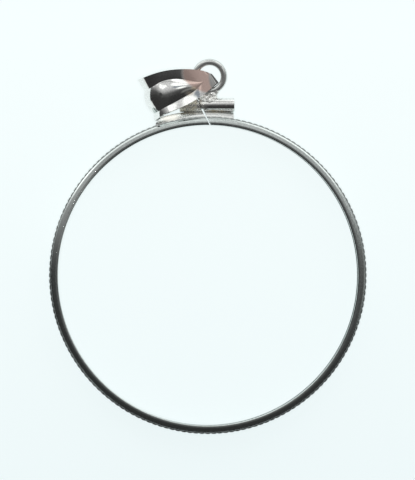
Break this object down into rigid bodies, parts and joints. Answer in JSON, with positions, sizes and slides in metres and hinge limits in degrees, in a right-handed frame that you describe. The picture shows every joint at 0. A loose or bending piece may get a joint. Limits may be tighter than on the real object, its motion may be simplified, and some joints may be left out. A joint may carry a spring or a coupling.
{
  "type": "coin bezel pendant frame",
  "caption": "Empty reeded silver ring that clamps round a large coin by a screw in a tube at its top, with a soldered loop and a folded bail that swings on it.",
  "frame": {"origin": "centre of the ring, in its middle plane", "axes": "+Z along the ring's axis, out of its front; +Y towards the clamp tube and the loop; +X to the right seen from the front. The frame lies on its back lip, on the plane z = -1.65 mm"},
  "size_m": [0.0396, 0.0468, 0.0048],
  "materials": {
    "frame_silver": "polished sterling silver with fine handling scratches, tan tarnish at the solder",
    "screw_steel": "plain turned metal",
    "bail_silver": "polished sterling silver sheet, stamped and folded, lightly scratched"
  },
  "bodies": {
    "frame": {"bezel_frame": "frame_silver", "clamp_screw": "screw_steel"},
    "bail": {"bail": "bail_silver"}
  },
  "joints": [
    {"name": "bail_swing", "type": "hinge", "parent": "frame", "child": "bail", "pos_m": [0.00024, 0.02483, 0], "axis": [0, 0, -1], "range_deg": [0, 224]}
  ]
}
